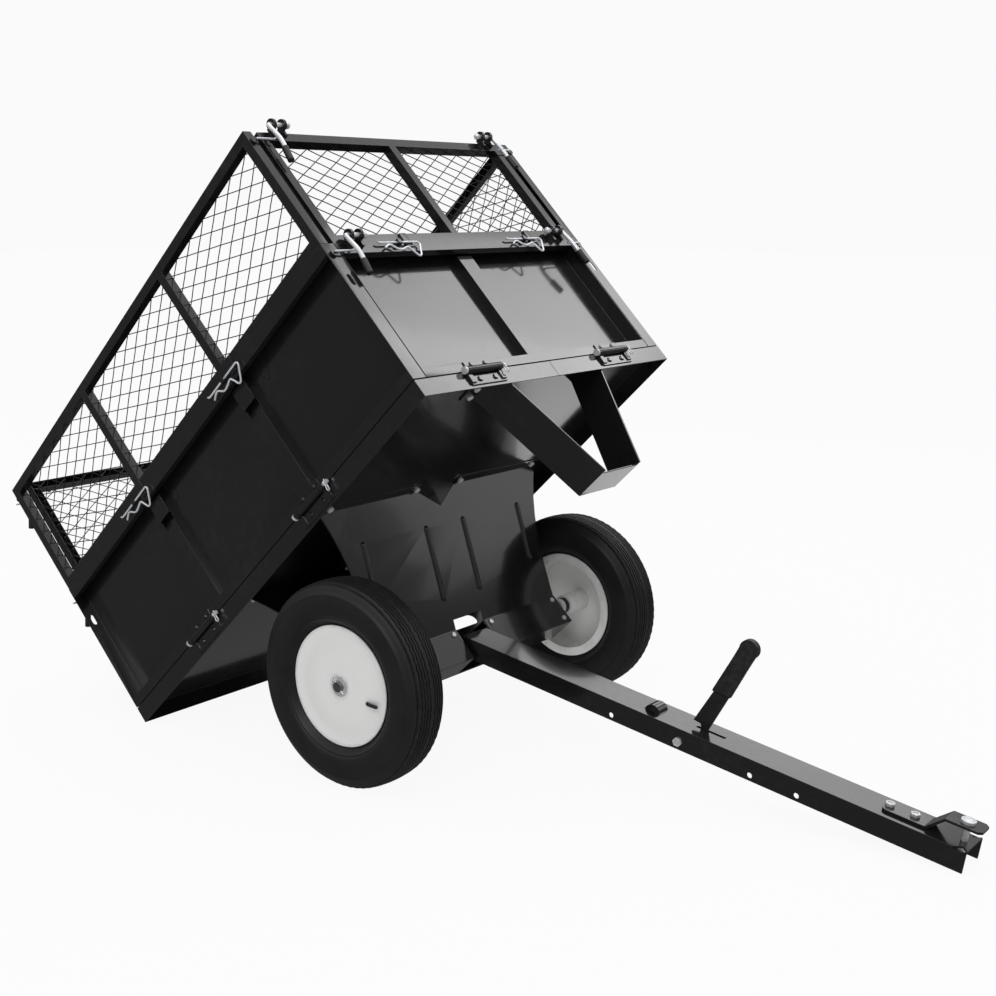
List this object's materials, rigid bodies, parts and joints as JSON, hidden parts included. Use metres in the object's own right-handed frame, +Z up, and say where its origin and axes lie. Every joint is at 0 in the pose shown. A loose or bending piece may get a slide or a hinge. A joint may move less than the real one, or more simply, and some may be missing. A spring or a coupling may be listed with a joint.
{
  "type": "tow behind cart",
  "caption": "Tow-behind garden cart with a tipping steel tray, drop-down panels, mesh extensions, pneumatic wheels and a clevis drawbar with a latch lever.",
  "frame": {"origin": "middle of the cart's footprint on the ground, with the cart parked tipped back", "axes": "+X forward to the hitch, +Y to the cart's left, +Z up"},
  "size_m": [2.1224, 0.824, 1.2382],
  "materials": {
    "black_powder": "gloss black powder coat",
    "mesh_wire": "black coated wire",
    "white_rim": "gloss white paint",
    "tyre_rubber": "moulded rubber",
    "black_plastic": "matte",
    "black_vinyl": "satin dipped vinyl",
    "bright_zinc": "bright zinc wire",
    "zinc_fasteners": "zinc plated",
    "plain_steel": "drawn steel"
  },
  "bodies": {
    "drawbar": {"drawbar_channel": "black_powder", "hitch_strap": "black_powder", "strap_bolts": "zinc_fasteners", "lever_pivot_bolt": "zinc_fasteners", "lever_spring": "plain_steel"},
    "hitch_pin": {"hitch_pin": "zinc_fasteners", "hitch_pin_clip": "bright_zinc"},
    "latch_lever": {"latch_lever": "black_powder", "lever_grip": "black_vinyl"},
    "tray": {"floor_left": "black_powder", "floor_right": "black_powder", "stand_front": "black_powder", "stand_rear": "black_powder", "axle_beam": "black_powder", "stub_axles": "plain_steel", "drawbar_pivot_bolt": "zinc_fasteners", "latch_bracket": "black_powder", "tray_bolts": "zinc_fasteners", "hinge_leaves": "black_powder", "hinge_pins": "zinc_fasteners", "hinge_pin_clips": "bright_zinc", "wheel_retainers": "zinc_fasteners"},
    "wheel_left": {"tyre_left": "tyre_rubber", "rim_left": "white_rim", "hub_bush_left": "black_plastic"},
    "wheel_right": {"tyre_right": "tyre_rubber", "rim_right": "white_rim", "hub_bush_right": "black_plastic"},
    "front_gate": {"front_gate": "black_powder", "front_mesh_frame": "black_powder", "front_mesh": "mesh_wire", "front_frame_pins": "bright_zinc"},
    "rear_gate": {"rear_gate": "black_powder", "rear_mesh_frame": "black_powder", "rear_mesh": "mesh_wire", "rear_frame_pins": "bright_zinc"},
    "left_side": {"left_side": "black_powder", "left_mesh_frame": "black_powder", "left_mesh": "mesh_wire", "left_frame_pins": "bright_zinc"},
    "right_side": {"right_side": "black_powder", "right_mesh_frame": "black_powder", "right_mesh": "mesh_wire", "right_frame_pins": "bright_zinc"},
    "latch_front_left_low": {"latch_rod_front_left_low": "bright_zinc", "latch_grip_front_left_low": "black_vinyl"},
    "latch_front_right_low": {"latch_rod_front_right_low": "bright_zinc", "latch_grip_front_right_low": "black_vinyl"},
    "latch_front_left_high": {"latch_rod_front_left_high": "bright_zinc", "latch_grip_front_left_high": "black_vinyl"},
    "latch_front_right_high": {"latch_rod_front_right_high": "bright_zinc", "latch_grip_front_right_high": "black_vinyl"},
    "latch_rear_left_low": {"latch_rod_rear_left_low": "bright_zinc", "latch_grip_rear_left_low": "black_vinyl"},
    "latch_rear_right_low": {"latch_rod_rear_right_low": "bright_zinc", "latch_grip_rear_right_low": "black_vinyl"},
    "latch_rear_left_high": {"latch_rod_rear_left_high": "bright_zinc", "latch_grip_rear_left_high": "black_vinyl"},
    "latch_rear_right_high": {"latch_rod_rear_right_high": "bright_zinc", "latch_grip_rear_right_high": "black_vinyl"}
  },
  "joints": [
    {"name": "tray_tip", "type": "hinge", "parent": "drawbar", "child": "tray", "pos_m": [-0.03561, 0, 0.17596], "axis": [0, 1, 0], "range_deg": [0, 53.08]},
    {"name": "wheel_left_spin", "type": "hinge", "parent": "tray", "child": "wheel_left", "pos_m": [-0.02155, 0.362, 0.2], "axis": [0, 1, 0], "continuous": true},
    {"name": "wheel_right_spin", "type": "hinge", "parent": "tray", "child": "wheel_right", "pos_m": [-0.02155, -0.362, 0.2], "axis": [0, 1, 0], "continuous": true},
    {"name": "front_gate_drop", "type": "hinge", "parent": "tray", "child": "front_gate", "pos_m": [0.17446, 0, 0.79245], "axis": [0, 1, 0], "range_deg": [0, 90]},
    {"name": "rear_gate_drop", "type": "hinge", "parent": "tray", "child": "rear_gate", "pos_m": [-0.63038, 0, 0.0208], "axis": [0, -1, 0], "range_deg": [0, 90]},
    {"name": "left_side_drop", "type": "hinge", "parent": "tray", "child": "left_side", "pos_m": [-0.22796, 0.4015, 0.40662], "axis": [-0.7218, 0, -0.6921], "range_deg": [0, 90]},
    {"name": "right_side_drop", "type": "hinge", "parent": "tray", "child": "right_side", "pos_m": [-0.22796, -0.4015, 0.40662], "axis": [0.7218, 0, 0.6921], "range_deg": [0, 90]},
    {"name": "lever_release", "type": "hinge", "parent": "drawbar", "child": "latch_lever", "pos_m": [0.49684, 0, 0.10457], "axis": [0, 1, 0], "range_deg": [0, 28], "stiffness_Nm_per_rad": 2, "springref_deg": -17.19},
    {"name": "hitch_pin_lift", "type": "slide", "parent": "drawbar", "child": "hitch_pin", "axis": [0.1614, 0, 0.9869], "range_m": [0, 0.012]},
    {"name": "latch_front_left_low_turn", "type": "hinge", "parent": "front_gate", "child": "latch_front_left_low", "pos_m": [-0.04372, 0.333, 1.02797], "axis": [0, -1, 0], "range_deg": [0, 110]},
    {"name": "latch_front_right_low_turn", "type": "hinge", "parent": "front_gate", "child": "latch_front_right_low", "pos_m": [-0.04372, -0.333, 1.02797], "axis": [0, -1, 0], "range_deg": [0, 110]},
    {"name": "latch_front_left_high_turn", "type": "hinge", "parent": "front_gate", "child": "latch_front_left_high", "pos_m": [-0.23473, 0.333, 1.22719], "axis": [0, -1, 0], "range_deg": [0, 110]},
    {"name": "latch_front_right_high_turn", "type": "hinge", "parent": "front_gate", "child": "latch_front_right_high", "pos_m": [-0.23473, -0.333, 1.22719], "axis": [0, -1, 0], "range_deg": [0, 110]},
    {"name": "latch_rear_left_low_turn", "type": "hinge", "parent": "rear_gate", "child": "latch_rear_left_low", "pos_m": [-0.85651, 0.333, 0.2487], "axis": [0, 1, 0], "range_deg": [-40.79, 69.21]},
    {"name": "latch_rear_right_low_turn", "type": "hinge", "parent": "rear_gate", "child": "latch_rear_right_low", "pos_m": [-0.85651, -0.333, 0.2487], "axis": [0, 1, 0], "range_deg": [-40.79, 69.21]},
    {"name": "latch_rear_left_high_turn", "type": "hinge", "parent": "rear_gate", "child": "latch_rear_left_high", "pos_m": [-1.04752, 0.333, 0.44792], "axis": [0, 1, 0], "range_deg": [-40.79, 69.21]},
    {"name": "latch_rear_right_high_turn", "type": "hinge", "parent": "rear_gate", "child": "latch_rear_right_high", "pos_m": [-1.04752, -0.333, 0.44792], "axis": [0, 1, 0], "range_deg": [-40.79, 69.21]}
  ]
}
